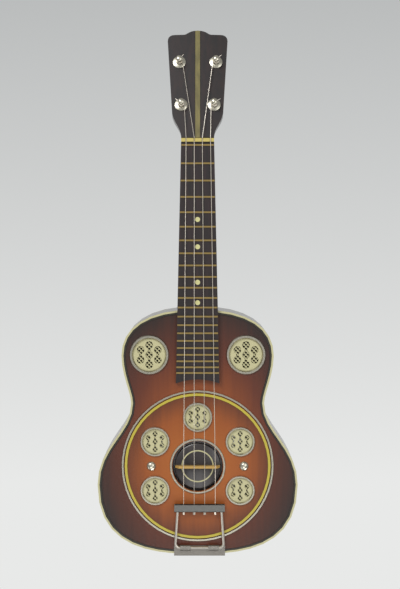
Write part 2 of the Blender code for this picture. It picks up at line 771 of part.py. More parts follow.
# Grilles
def wavy_slot(across, heights, radius, neck, steps, centre):
    """Round lobes one above another, run together through narrow necks."""
    bite = math.asin(neck / 2 / radius)
    count = len(heights)
    right = []
    for index, height in enumerate(heights):
        low = bite - math.pi / 2 if index > 0 else -math.pi / 2
        high = math.pi / 2 - bite if index < count - 1 else math.pi / 2
        whole = index in (0, count - 1)
        pieces = steps if whole else steps - 1
        for i in range(pieces + 1):
            turn = low + (high - low) * i / pieces
            right.append((radius * math.cos(turn), height + radius * math.sin(turn)))
    left = [(-x, z) for x, z in reversed(right) if x > radius * 0.01]
    return [(centre[0] + across + x, centre[1] + z) for x, z in right + left]


def grille_loops(radius, pitch, lobe, neck, steps, rim_steps, centre):
    """A disc with seven lobes in a ring of six and one, as three wavy slots."""
    column = pitch * math.cos(math.radians(30.0))
    loops = [circle(radius, rim_steps, centre)]
    for across, heights in ((-column, (-pitch / 2, pitch / 2)), (0.0, (-pitch, 0.0, pitch)),
                            (column, (-pitch / 2, pitch / 2))):
        loops.append(wavy_slot(across, heights, lobe, neck, steps, centre))
    return loops


def add_bezel(name, centre, radius, width, seat, steps, mat):
    """Pressed metal ring with sloping flanks, over a grille's edge."""
    top = seat + BEZEL_HEIGHT
    turned(name, [(radius - width * 0.22, top), (radius, seat), (radius - width, seat),
                  (radius - width * 0.72, top)], steps,
           FRONT @ Matrix.Translation((*centre, 0)), mat)


def build_grilles(cream, metal):
    upper_z = BODY_TOP_Z - UPPER_GRILLE_FROM_TOP
    for side, word in ((-1, "left"), (1, "right")):
        centre = (side * UPPER_GRILLE_X, upper_z)
        loops = grille_loops(UPPER_GRILLE_RADIUS, UPPER_LOBE_PITCH, UPPER_LOBE_RADIUS,
                             UPPER_NECK_WIDTH, 5, 24, centre)
        flat(f"upper_grille_{word}", loops, -GRILLE_RECESS - GRILLE_THICK, -GRILLE_RECESS, cream)
        add_bezel(f"upper_bezel_{word}", centre, UPPER_BEZEL_RADIUS, UPPER_BEZEL_WIDTH,
                  CLEAR, 28, metal)
    top = COVER_FACE - GRILLE_RECESS
    for number, centre in enumerate(cover_grille_centres(), 1):
        loops = grille_loops(COVER_GRILLE_RADIUS, COVER_LOBE_PITCH, COVER_LOBE_RADIUS,
                             COVER_NECK_WIDTH, 4, 20, centre)
        flat(f"cover_grille_{number}", loops, top - GRILLE_THICK, top, cream)
        add_bezel(f"cover_bezel_{number}", centre, COVER_BEZEL_RADIUS, COVER_BEZEL_WIDTH,
                  COVER_FACE + CLEAR, 24, metal)


# Neck and head
def neck_ring(place, half_width, depth, squareness, narrow, steps=14):
    """Section with a flat front and a rounded back, in the plane of its placement.

    Squareness goes from 0, a half round, to 1, a full rectangle.
    """
    power = 1.0 - 0.86 * squareness
    ring = []
    for i in range(steps + 1):
        turn = math.pi * i / steps
        across = math.copysign(abs(math.cos(turn)) ** power, math.cos(turn))
        back = math.sin(turn) ** power if 0 < i < steps else 0.0
        thin = 1.0 - narrow * back
        ring.append(place @ Vector((half_width * across * thin, -back * depth, 0.0)))
    return ring


def build_neck(mat):
    """Neck, heel and head core in one piece of wood."""
    rings = []
    start = BODY_TOP_Z + CLEAR
    heel = ((0.0, 1.0), (0.10, 0.93), (0.25, 0.72), (0.45, 0.42), (0.70, 0.16), (1.0, 0.0))
    for share, deep in heel:
        height = start + HEEL_LENGTH * share
        depth = NECK_THICK_BODY + (HEEL_DEPTH - NECK_THICK_BODY) * deep
        rings.append(neck_ring(level_at(height), board_half_width(height), depth,
                               0.25, HEEL_TAPER * deep))
    plain = start + HEEL_LENGTH
    for share in (0.5, 0.96):
        height = plain * (1.0 - share)
        depth = NECK_THICK_BODY + (NECK_THICK_NUT - NECK_THICK_BODY) * share
        rings.append(neck_ring(level_at(height), board_half_width(height), depth, 0.2, 0.0))
    rings.append(neck_ring(tilted_at(0.0, HEAD_TILT * 0.5), board_half_width(0.0),
                           HEAD_THICK, 0.3, 0.0))
    for wide, height in half_head(HEAD_FLARE_LENGTH * 0.1):
        square = min(1.0, 0.4 + height / HEAD_FLARE_LENGTH * 0.6)
        if height == HEAD_LENGTH:
            square = 0.2
        rings.append(neck_ring(tilted_at(height, HEAD_TILT), max(wide, HEAD_APEX_WIDTH / 2),
                               HEAD_THICK, square, 0.0))
    neck = loft("neck", rings, mat)
    combine(neck, drills("peg_bores", PEGS, SHAFT_RADIUS + CLEAR, -HEAD_THICK * 1.5,
                         HEAD_THICK, HEAD))


def level_at(height):
    return frame((1, 0, 0), (0, -1, 0), (0, 0, height))


def tilted_at(height, tilt):
    """Section placement across the head, leaning with it."""
    origin = HEAD @ Vector((0, height, 0))
    return frame((1, 0, 0), (0, -math.cos(tilt), math.sin(tilt)), origin)


def build_head_face(veneer_mat, stripe_mat):
    """Face veneer, grooved for the light stripe down its middle."""
    start = CLEAR * 1.4
    half = half_head(start)
    loops = [half + [(-x, z) for x, z in reversed(half[:-1])]]
    for across, along in PEGS:
        loops.append(circle(SHAFT_RADIUS + CLEAR, 12, (across, along)))
    veneer = as_mesh(flat("head_veneer", loops, CLEAR, VENEER_FACE, veneer_mat, HEAD))
    floor = VENEER_FACE - STRIPE_THICK
    groove = bmesh.new()
    add_box(groove, (STRIPE_WIDTH + CLEAR * 2, HEAD_LENGTH * 3, (STRIPE_THICK + CLEAR) * 2),
            HEAD @ Matrix.Translation((0, 0, VENEER_FACE)))
    combine(veneer, add_cutter("stripe_groove", mesh_from(groove, "stripe_groove")))
    wide = STRIPE_WIDTH / 2
    top = cut_at(half, wide)[-1][1]
    loop = [(-wide, start), (wide, start), (wide, top), (0.0, HEAD_LENGTH), (-wide, top)]
    prism("head_stripe", loop, floor, VENEER_FACE, stripe_mat, HEAD)


# Fingerboard, frets and nut
def build_fingerboard(board_mat, nut_mat):
    """Fretted fingerboard with a hollow end over the soundboard."""
    low_half = board_half_width(BOARD_END_Z)
    top_half = board_half_width(BOARD_TOP_Z)
    steps = 8
    arc = []
    for i in range(steps + 1):
        share = 2.0 * i / steps - 1.0
        arc.append((low_half * share, BOARD_END_Z + BOARD_END_HOLLOW * (1.0 - share * share)))
    loop = arc + [(top_half, BOARD_TOP_Z), (-top_half, BOARD_TOP_Z)]
    board = as_mesh(flat("fingerboard", [loop], CLEAR, BOARD_FACE, board_mat))
    frets = bmesh.new()
    half_crown = FRET_CROWN_WIDTH / 2
    foot = BOARD_FACE - FRET_TANG_DEPTH
    for number in range(FRET_COUNT + 1):
        height = fret_z(number)
        reach = board_half_width(height) - CLEAR
        shape = [(foot, -half_crown), (BOARD_FACE, -half_crown), (CROWN_TOP, -half_crown * 0.4),
                 (CROWN_TOP, half_crown * 0.4), (BOARD_FACE, half_crown), (foot, half_crown)]
        add_prism(frets, [(h, height + z) for h, z in shape], -reach, reach, SIDEWAYS)
    combine(board, add_cutter("frets", mesh_from(frets, "frets")), "UNION")
    build_nut(nut_mat)


def string_x(number, spacing, shift):
    """Place across of a string, numbered from 0 at the left."""
    return shift + spacing * (number - 1.5)


def build_nut(mat):
    half = board_half_width(0.0)
    half_slot = NUT_SLOT_WIDTH / 2
    loop = [(-half, CLEAR), (half, CLEAR), (half, NUT_HEIGHT)]
    for number in (3, 2, 1, 0):
        across = string_x(number, NUT_STRING_SPACING, NUT_STRING_SHIFT)
        loop += [(across + half_slot, NUT_HEIGHT), (across + half_slot, NUT_SLOT_FLOOR),
                 (across - half_slot, NUT_SLOT_FLOOR), (across - half_slot, NUT_HEIGHT)]
    loop.append((-half, NUT_HEIGHT))
    prism("nut", loop, 0.0, NUT_THICK, mat, ENDWAYS)


# Tuning pegs
def build_pegs(flange_mat, post_mat, button_mat, string_mat):
    seat = VENEER_FACE + CLEAR
    bore = SHAFT_RADIUS + CLEAR
    for number, (across, along) in enumerate(PEGS):
        place = HEAD @ Matrix.Translation((across, along, 0))
        turned(f"peg_flange_{number + 1}", [
            (bore, FLANGE_TOP), (FLANGE_RADIUS * 0.62, FLANGE_TOP),
            (FLANGE_RADIUS, seat + FLANGE_HEIGHT * 0.3), (FLANGE_RADIUS, seat), (bore, seat)],
            20, place, flange_mat)
        build_post(number, place, post_mat)
        build_button(number, place, button_mat)
        build_coil(number, place, string_mat)


def shaft_end():
    """Level behind the head where the shaft stops and the button starts."""
    return -HEAD_THICK - CLEAR


def build_post(number, place, mat):
    """Metal post: shaft through the head, waist for the winding, domed top, string hole."""
    rise = POST_TOP - POST_SHOULDER
    post = turned(f"peg_post_{number + 1}", [
        (0.0, POST_TOP), (POST_RADIUS * 0.65, POST_TOP - rise * 0.03),
        (POST_RADIUS, POST_TOP - rise * 0.12), (POST_WAIST_RADIUS, POST_TOP - rise * 0.22),
        (POST_WAIST_RADIUS, POST_SHOULDER + COIL_SEAT), (POST_RADIUS, POST_SHOULDER),
        (SHAFT_RADIUS, POST_SHOULDER), (SHAFT_RADIUS, shaft_end()),
        (0.0, shaft_end())], 14, place, mat)
    bm = bmesh.new()
    turn = Matrix.Rotation(math.radians(FREE_END_ANGLES[number]), 4, "Z")
    across = frame((0, 1, 0), (0, 0, 1), (0, 0, HOLE_LEVEL))
    add_cylinder(bm, POST_HOLE_RADIUS, -POST_RADIUS * 2, POST_RADIUS * 2,
                 place @ turn @ across, 8)
    name = f"string_hole_{number + 1}"
    combine(post, add_cutter(name, mesh_from(bm, name)))


def build_button(number, place, mat):
    """Grip behind the head: a round collar that swells into a flat oval paddle."""
    start = shaft_end() - CLEAR
    rings = []
    for share, wide, thick in ((0.0, 0.42, 0.90), (0.10, 0.40, 0.85), (0.24, 0.34, 0.62),
                               (0.40, 0.70, 0.85), (0.62, 1.0, 1.0), (0.84, 0.92, 0.90),
                               (1.0, 0.55, 0.45)):
        level = start - BUTTON_LENGTH * share
        rings.append([place @ Vector((BUTTON_WIDTH / 2 * wide * math.cos(math.tau * i / 12),
                                      BUTTON_THICK / 2 * thick * math.sin(math.tau * i / 12),
                                      level)) for i in range(12)])
    loft(f"peg_button_{number + 1}", rings, mat)


def winding(number):
    """Points of one string's winding in its post's placement, from the nut's side up.

    It returns the points, and the place of the nut's slot in the same placement.
    """
    across, along = PEGS[number]
    side = 1.0 if across < 0.0 else -1.0
    slot = HEAD.inverted() @ Vector((string_x(number, NUT_STRING_SPACING, NUT_STRING_SHIFT),
                                     -STRING_AT_NUT, CLEAR))
    to_nut = Vector((slot.x - across, slot.y - along))
    lean = math.atan2(to_nut.y, to_nut.x)
    start = lean + side * math.acos(COIL_RADIUS / to_nut.length)
    entry = math.radians(FREE_END_ANGLES[number]) + math.pi
    sweep = (side * (entry - start)) % math.tau
    tail_turn = sweep if sweep > math.pi else sweep + math.tau
    bend = math.radians(14.0)
    total = COIL_TURNS * math.tau + tail_turn - bend
    steps = int(total / math.tau * COIL_POINTS_PER_TURN)
    points = []
    off = Vector((math.cos(start - side * math.pi / 2), math.sin(start - side * math.pi / 2)))
    first = Vector((COIL_RADIUS * math.cos(start), COIL_RADIUS * math.sin(start), COIL_LOW))
    points.append(first + Vector((off.x, off.y, 0)) * STRING_RADIUS * 4)
    for i in range(steps + 1):
        turn = total * i / steps
        climb = COIL_PITCH * min(turn / math.tau, COIL_TURNS)
        late = max(0.0, turn - COIL_TURNS * math.tau) / (total - COIL_TURNS * math.tau)
        angle = start + side * turn
        points.append(Vector((COIL_RADIUS * math.cos(angle), COIL_RADIUS * math.sin(angle),
                              COIL_LOW + climb + COIL_RISE * late)))
    for short, share in ((8.0, 0.97), (3.0, 0.86), (0.0, 0.70)):
        angle = entry - side * math.radians(short)
        reach = COIL_RADIUS * share
        points.append(Vector((reach * math.cos(angle), reach * math.sin(angle), HOLE_LEVEL)))
    for reach in (COIL_RADIUS, FREE_END_REACH):
        points.append(Vector((-reach * math.cos(entry), -reach * math.sin(entry), HOLE_LEVEL)))
    return points, Vector((slot.x - across, slot.y - along, slot.z))


def least_gap(points, radius, skip):
    """Least distance between the surfaces of a tube's own turns, measured on its points."""
    least = math.inf
    for i, first in enumerate(points):
        for second in points[i + skip:]:
            least = min(least, (first - second).length - 2 * radius)
    return least


def build_coil(number, place, mat):
    points, slot = winding(number)
    gap = least_gap(points, STRING_RADIUS, COIL_POINTS_PER_TURN // 2)
    print(f"string_coil_{number + 1}: least gap to itself {gap * 1000:.2f} mm")
    tube(f"string_coil_{number + 1}", [place @ point for point in points], STRING_RADIUS, mat)


# Strings
def build_strings(mat):
    """Four strings from their windings over nut, zero fret and saddle to the tail bar."""
    low = BAR_FROM_AXIS - BAR_TALL / 2
    for number, (across, along) in enumerate(PEGS):
        place = HEAD @ Matrix.Translation((across, along, 0))
        points, slot = winding(number)
        leave = points[0] + (slot - points[0]).normalized() * CLEAR
        nut_x = string_x(number, NUT_STRING_SPACING, NUT_STRING_SHIFT)
        saddle_x = string_x(number, SADDLE_STRING_SPACING, SADDLE_STRING_SHIFT)
        bar_x = saddle_x - TAIL_SHIFT
        zero_x = nut_x + (saddle_x - nut_x) * fret_z(0) / SADDLE_Z
        ball_top = low - CLEAR
        route = [place @ leave, Vector((nut_x, -STRING_AT_NUT, CLEAR)),
                 Vector((zero_x, -STRING_AT_ZERO, fret_z(0))),
                 Vector((saddle_x, -STRING_AT_SADDLE, SADDLE_Z)),
                 TAIL @ Vector((bar_x, ball_top + CLEAR, 0)),
                 TAIL @ Vector((bar_x, ball_top, 0)),
                 TAIL @ Vector((bar_x, ball_top - BALL_END_LENGTH, 0)),
                 TAIL @ Vector((bar_x, ball_top - BALL_END_LENGTH - CLEAR, 0))]
        ball = BALL_END_RADIUS / STRING_RADIUS
        swell = [1.0, 1.0, 1.0, 1.0, 1.0, ball, ball, 1.0]
        tube(f"string_{number + 1}", route, STRING_RADIUS, mat, 1, swell)


# Tailpiece
def build_tailpiece(plate_mat, bail_mat, bar_mat):
    skirt = BODY_END_Z - CLEAR
    tab_end = TAIL_AXIS_Z + EAR_RADIUS * 0.6
    soft = TAIL_SHEET * 0.4
    shape = [(CLEAR, tab_end), (CLEAR, skirt), (-TAIL_SKIRT_DEPTH, skirt),
             (-TAIL_SKIRT_DEPTH, skirt - TAIL_SHEET), (TAIL_TAB_FACE - soft, skirt - TAIL_SHEET),
             (TAIL_TAB_FACE, skirt - TAIL_SHEET + soft), (TAIL_TAB_FACE, tab_end)]
    half = TAIL_PLATE_WIDTH / 2
    place = SIDEWAYS.copy()
    place.translation = Vector((TAIL_SHIFT, 0, 0))
    plate = prism("tail_plate", shape, -half, half, plate_mat, place)
    for side, name in ((-1, "ear_left"), (1, "ear_right")):
        combine(plate, ear_cutter(name, side), "UNION")
    build_bail(bail_mat)
    build_bar(bar_mat)


def ear_cutter(name, side):
    """Rolled ear of the end plate, a short tube round the bail's rod."""
    middle = TAIL_SHIFT + side * (EAR_INNER_X + EAR_OUTER_X) / 2
    half = (EAR_OUTER_X - EAR_INNER_X) / 2
    place = frame((0, -1, 0), (0, 0, 1), (middle, -TAIL_AXIS_HEIGHT, TAIL_AXIS_Z))
    profile = [(EAR_RADIUS, half), (EAR_RADIUS, -half), (EAR_BORE_RADIUS, -half),
               (EAR_BORE_RADIUS, half)]
    return turned(name, profile, 16, place)


def build_bail(mat):
    """Bent wire: a rod through the ears and two legs up to the bar."""
    top = BAR_FROM_AXIS + BAR_TALL / 2 - BAR_SHEET
    low_x = BAIL_WIDTH_LOW / 2
    high_x = BAIL_WIDTH_HIGH / 2
    right = []
    for i in range(6):
        turn = math.pi / 2 * i / 5
        right.append((low_x - BAIL_CORNER + BAIL_CORNER * math.sin(turn),
                      BAIL_CORNER - BAIL_CORNER * math.cos(turn)))
    right.append((high_x, top))
    points = [(-x, y) for x, y in reversed(right)] + right
    tube("tail_bail", [TAIL @ Vector((x, y, 0)) for x, y in points], BAIL_RADIUS, mat, 2)


def build_bar(mat):
    """Folded sheet that holds the legs and lets the strings through to their ball ends."""
    inner = BAIL_RADIUS + CLEAR
    outer = inner + BAR_SHEET
    low = BAR_FROM_AXIS - BAR_TALL / 2
    high = BAR_FROM_AXIS + BAR_TALL / 2
    soft = BAR_SHEET
    shape = [(-outer, high), (-outer, low + soft), (-outer + soft, low), (outer - soft, low),
             (outer, low + soft), (outer, high), (inner, high), (inner, low + BAR_SHEET),
             (-inner, low + BAR_SHEET), (-inner, high)]
    place = TAIL @ frame((0, 0, 1), (0, 1, 0), (0, 0, 0))
    bar = prism("tail_bar", shape, -BAR_LENGTH / 2, BAR_LENGTH / 2, mat, place)
    fold = TAIL @ frame((1, 0, 0), (0, 0, 1), (0, low + BAR_SHEET / 2, 0))
    strings = [(string_x(n, SADDLE_STRING_SPACING, SADDLE_STRING_SHIFT) - TAIL_SHIFT, 0.0)
               for n in range(4)]
    combine(bar, drills("bar_string_holes", strings, STRING_RADIUS + CLEAR,
                        -BAR_SHEET, BAR_SHEET, fold, 8))
    share = low / (BAR_FROM_AXIS + BAR_TALL / 2)
    leg = BAIL_WIDTH_LOW / 2 + (BAIL_WIDTH_HIGH - BAIL_WIDTH_LOW) / 2 * share
    combine(bar, drills("bar_leg_holes", [(-leg, 0.0), (leg, 0.0)], BAIL_RADIUS + CLEAR * 1.5,
                        -BAR_SHEET, BAR_SHEET, fold, 12))


def build_all():
    wood = {
        "top": material("sunburst_top", "#7a3a14", 0.30),
        "back": material("stained_back", "#4a2014", 0.35),
        "side": material("stained_sides", "#3a1a16", 0.35),
        "inner": material("raw_spruce", "#c8a878", 0.75),
    }
    cream = material("cream_celluloid", "#c8c496", 0.35)
    build_body(wood, cream, material("black_and_cream_purfling", "#3c382c", 0.40))
    build_resonator(wood, material("spun_aluminium", "#b8babc", 0.35, 1.0),
                    material("bone_saddle", "#b08a48", 0.45),
                    material("ebonised_biscuit", "#2e2a2a", 0.40))
    nickel = material("nickel_plate", "#a8a498", 0.30, 1.0)
    build_cover(material("sunburst_cover", "#8b4016", 0.28), nickel,
                material("yellow_purfling", "#c2b83a", 0.40),
                material("nickel_centre_ring", "#b0aca0", 0.28, 1.0),
                material("nickel_screws", "#9a968c", 0.35, 1.0))
    build_grilles(material("cream_grille", "#d8d2a8", 0.45),
                  material("nickel_bezels", "#a8a69a", 0.30, 1.0))
    build_neck(material("stained_neck", "#33191a", 0.35))
    build_head_face(material("head_veneer", "#251719", 0.30),
                    material("maple_stripe", "#6e6438", 0.40))
    build_fingerboard(material("rosewood_board", "#2c1c18", 0.50),
                      material("bone_nut", "#b8a860", 0.45))
    build_pegs(material("nickel_flanges", "#8c8a7c", 0.40, 1.0),
               material("nickel_posts", "#a09c90", 0.35, 1.0),
               material("celluloid_buttons", "#d6c9a4", 0.35),
               material("wound_wire", "#b0aca4", 0.35, 1.0))
    build_strings(material("steel_wire", "#c0bcb4", 0.30, 1.0))
    build_tailpiece(material("worn_end_plate", "#8a8680", 0.50, 1.0),
                    material("bright_bail", "#c4c0b8", 0.25, 1.0),
                    material("grey_tail_bar", "#6a6a68", 0.45, 1.0))


build_all()
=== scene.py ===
"""The looks of the resonator cavaquinho, dressed over its CAD frame. Metres, +Z up the neck."""
import math

import bmesh
import bpy
from mathutils import Matrix, Vector


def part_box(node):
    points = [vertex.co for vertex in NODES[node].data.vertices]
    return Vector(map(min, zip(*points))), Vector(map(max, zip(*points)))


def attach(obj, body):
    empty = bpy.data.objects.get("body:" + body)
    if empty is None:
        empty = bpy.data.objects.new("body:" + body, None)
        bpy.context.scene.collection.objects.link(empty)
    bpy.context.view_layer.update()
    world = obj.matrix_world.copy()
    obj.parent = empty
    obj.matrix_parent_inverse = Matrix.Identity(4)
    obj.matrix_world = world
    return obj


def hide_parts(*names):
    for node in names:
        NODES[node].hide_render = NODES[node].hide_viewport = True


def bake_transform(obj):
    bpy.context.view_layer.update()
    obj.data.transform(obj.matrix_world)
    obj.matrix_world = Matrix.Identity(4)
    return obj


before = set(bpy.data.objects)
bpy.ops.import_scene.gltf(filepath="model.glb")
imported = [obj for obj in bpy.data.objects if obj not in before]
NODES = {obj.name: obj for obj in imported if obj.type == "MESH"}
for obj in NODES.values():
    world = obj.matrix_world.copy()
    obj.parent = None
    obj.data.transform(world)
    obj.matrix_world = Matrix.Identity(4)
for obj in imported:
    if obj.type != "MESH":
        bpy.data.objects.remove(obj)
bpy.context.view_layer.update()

# Camera, matched to the photograph
CAMERA_PLACE = (0.0025, -1.5, -0.100)
CAMERA_AIM = (0.0025, 0.0, -0.1637)
CAMERA_ANGLE = math.radians(23.35)

# How far an inlay or a crown stands proud of what it lies on
LIFT = 0.00006

# Fret crowns and the dots between them
SCALE_LENGTH = 0.340
ZERO_FRET_Z = -0.0071
FRET_COUNT = 21
CROWN_WIDTH = 0.0017
CROWN_HEIGHT = 0.0009
CROWN_INSET = 0.0003
FRETS_PROUD = 0.0009
DOT_FRETS = (5, 7, 10, 12)
DOT_RADIUS = 0.0026
DOT_SIDES = 32

# Ring let into the biscuit
INLAY_RADIUS = 0.0164
INLAY_WIDTH = 0.0013
INLAY_STEPS = 72

# Gauze behind the grilles, in two slanted layers
GAUZE_SLANTS = (45.0, -45.0)
GAUZE_WIRE = 0.0004
GAUZE_PITCH = 0.0030
GAUZE_WIDTH = 0.0011
GAUZE_INSET = 0.0003
GAUZE_GAP = 0.0003

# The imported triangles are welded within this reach, and shade smoothly below this angle
WELD_REACH = 0.000002
SHARP_ANGLE = math.radians(32.0)

# Patterns as cells to the metre across the neck, and the share of that along it
NOISE_DETAIL = 6.0
WOOD_GRAIN = 220.0
BOARD_GRAIN = 420.0
WOOD_ALONG = 0.06
BURST_GRAIN = 260.0
BURST_ALONG = 0.05
METAL_WEAR = 900.0
MOTTLE = 700.0

# Places of the colours on a ramp, and how far grain shifts the sunburst's edges
WOOD_STOPS = (0.35, 0.68)
BURST_STOPS = (0.15, 0.68, 1.0)
BURST_GRAIN_SHIFT = 0.16

# Surface under lacquer, worn plating and moulded plastic
COAT_ROUGHNESS = 0.15
BURST_ROUGHNESS = 0.45
BURST_COAT = 0.15
PLASTIC_COAT = 0.2
POLISHED = 0.7
DULLED = 1.4
PIT_DEPTH = 0.0003
MOTTLE_STRENGTH = 0.08
MOTTLE_DEPTH = 0.0002

# Middle and half extent of the two sunbursts; across the depth they don't change
TOP_BURST_PLACE = (0.0, 0.0, -0.325)
TOP_BURST_REACH = (0.108, 1.0, 0.150)
COVER_BURST_REACH = (0.080, 1.0, 0.080)

# Glowing paper behind, and the heights between which its glow darkens as painted shade
PAPER_SIZE = (12.0, 0.01, 8.0)
PAPER_AWAY = 2.5
PAPER_LOW = -0.80
PAPER_HIGH = 0.56
# Painted light: colours of the paper's own glow, the darker one at the top as painted shade
PAPER_GLOW_COLOURS = ("#e8e9e8", "#babcbc")

# Square lamps: name, place, watts and side
LAMPS = (
    ("key", (-0.9, -1.6, 1.2), 30.0, 0.9),
    ("fill", (1.2, -1.8, 0.2), 11.0, 1.2),
    ("low", (0.0, -1.5, -1.4), 10.0, 1.2),
)
WORLD_COLOUR = "#f2f2f2"
WORLD_STRENGTH = 0.42


def linear(colour):
    """Linear colour from an sRGB hex colour."""
    channels = [int(colour[i:i + 2], 16) / 255.0 for i in (1, 3, 5)]
    return (*[c / 12.92 if c <= 0.04045 else ((c + 0.055) / 1.055) ** 2.4 for c in channels], 1.0)


def node(tree, kind, inputs=None, **settings):
    """One node with its settings; an input is a value, or a socket to link."""
    made = tree.nodes.new(kind)
    for name, value in settings.items():
        setattr(made, name, value)
    for name, value in (inputs or {}).items():
        if isinstance(value, bpy.types.NodeSocket):
            tree.links.new(value, made.inputs[name])
        else:
            made.inputs[name].default_value = value
    return made


def base(name, colour, roughness, metallic=0.0, coat=0.0):
    """Plain material with its node tree and its shader."""
    mat = bpy.data.materials.new(name)
    mat.use_nodes = True
    shader = mat.node_tree.nodes["Principled BSDF"]
    shader.inputs["Base Color"].default_value = linear(colour)
    shader.inputs["Roughness"].default_value = roughness
    shader.inputs["Metallic"].default_value = metallic
    shader.inputs["Coat Weight"].default_value = coat
    shader.inputs["Coat Roughness"].default_value = COAT_ROUGHNESS
    return mat, mat.node_tree, shader


def grain(tree, per_metre, along=1.0):
    """Noise drawn out along the neck, as wood grain, or left even, as wear."""
    place = node(tree, "ShaderNodeTexCoord")
    drawn = node(tree, "ShaderNodeMapping",
                 {"Vector": place.outputs["Object"], "Scale": (1.0, 1.0, along)})
    noise = node(tree, "ShaderNodeTexNoise",
                 {"Vector": drawn.outputs["Vector"], "Scale": per_metre, "Detail": NOISE_DETAIL})
    return noise.outputs["Fac"]


def wood(name, dark, light, roughness, coat, per_metre=WOOD_GRAIN):
    """Stained wood with grain along the neck."""
    mat, tree, shader = base(name, light, roughness, 0.0, coat)
    ramp = node(tree, "ShaderNodeValToRGB", {"Fac": grain(tree, per_metre, WOOD_ALONG)})
    for stop, place, colour in zip(ramp.color_ramp.elements, WOOD_STOPS, (dark, light)):
        stop.position = place
        stop.color = linear(colour)
    tree.links.new(ramp.outputs["Color"], shader.inputs["Base Color"])
    return mat


def sunburst(name, centre, reach, colours):
    """Lacquered top whose colour darkens with the distance from a centre."""
    mat, tree, shader = base(name, colours[0], BURST_ROUGHNESS, 0.0, BURST_COAT)
    place = node(tree, "ShaderNodeTexCoord")
    away = node(tree, "ShaderNodeVectorMath", {0: place.outputs["Object"], 1: centre},
                operation="SUBTRACT")
    shape = node(tree, "ShaderNodeVectorMath", {0: away.outputs["Vector"], 1: reach},
                 operation="DIVIDE")
    length = node(tree, "ShaderNodeVectorMath", {0: shape.outputs["Vector"]}, operation="LENGTH")
    shifted = node(tree, "ShaderNodeMath",
                   {0: grain(tree, BURST_GRAIN, BURST_ALONG), 1: BURST_GRAIN_SHIFT,
                    2: length.outputs["Value"]}, operation="MULTIPLY_ADD")
    level = node(tree, "ShaderNodeMath",
                 {0: shifted.outputs["Value"], 1: -BURST_GRAIN_SHIFT / 2.0}, operation="ADD")
    ramp = node(tree, "ShaderNodeValToRGB", {"Fac": level.outputs["Value"]})
    inner, outer = ramp.color_ramp.elements
    inner.position = BURST_STOPS[0]
    inner.color = linear(colours[0])
    outer.position = BURST_STOPS[2]
    outer.color = linear(colours[2])
    middle = ramp.color_ramp.elements.new(BURST_STOPS[1])
    middle.color = linear(colours[1])
    tree.links.new(ramp.outputs["Color"], shader.inputs["Base Color"])
    return mat


def metal(name, colour, roughness, pits=0.0):
    """Plated metal whose shine varies with wear; pits gives how strongly it is pitted."""
    mat, tree, shader = base(name, colour, roughness, 1.0)
    wear = grain(tree, METAL_WEAR)
    spread = node(tree, "ShaderNodeMapRange",
                  {"Value": wear, "To Min": roughness * POLISHED,
                   "To Max": min(1.0, roughness * DULLED)})
    tree.links.new(spread.outputs["Result"], shader.inputs["Roughness"])
    if pits > 0.0:
        bump = node(tree, "ShaderNodeBump",
                    {"Height": wear, "Strength": pits, "Distance": PIT_DEPTH})
        tree.links.new(bump.outputs["Normal"], shader.inputs["Normal"])
    return mat


def plain(name, colour, roughness):
    """Plastic or bone with a faint mottle."""
    mat, tree, shader = base(name, colour, roughness, 0.0, PLASTIC_COAT)
    bump = node(tree, "ShaderNodeBump",
                {"Height": grain(tree, MOTTLE), "Strength": MOTTLE_STRENGTH,
                 "Distance": MOTTLE_DEPTH})
    tree.links.new(bump.outputs["Normal"], shader.inputs["Normal"])
    return mat


def centre_of(name):
    """Middle of a CAD node's box."""
    low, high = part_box(name)
    return Vector([(a + b) / 2.0 for a, b in zip(low, high)])


def front_of(name):
    """Level of a CAD node's face towards the strings."""
    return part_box(name)[0][1]


SADDLE = centre_of("biscuit")

# Celluloid trim: yellowed cream with a soft shine
CREAM = plain("cream_celluloid", "#bdb88e", 0.35)
BUTTON = plain("celluloid_buttons", "#d6c9a4", 0.35)
# Metals: nickel plate gone dull, yellow fret wire, and wound steel, which scatters light
NICKEL = metal("dull_nickel", "#c2beae", 0.30)
BRASS = metal("worn_brass_frets", "#b39a62", 0.32)
STRING = metal("steel_string", "#f0e8da", 0.42)
# Sprayed sunbursts: amber in the middle, nearly black at the edge
TOP = sunburst("sunburst_top", TOP_BURST_PLACE, TOP_BURST_REACH,
               ("#a0500c", "#5a2408", "#241008"))
COVER = sunburst("sunburst_cover", (0.0, 0.0, SADDLE.z), COVER_BURST_REACH,
                 ("#a85c12", "#90480a", "#4c2008"))

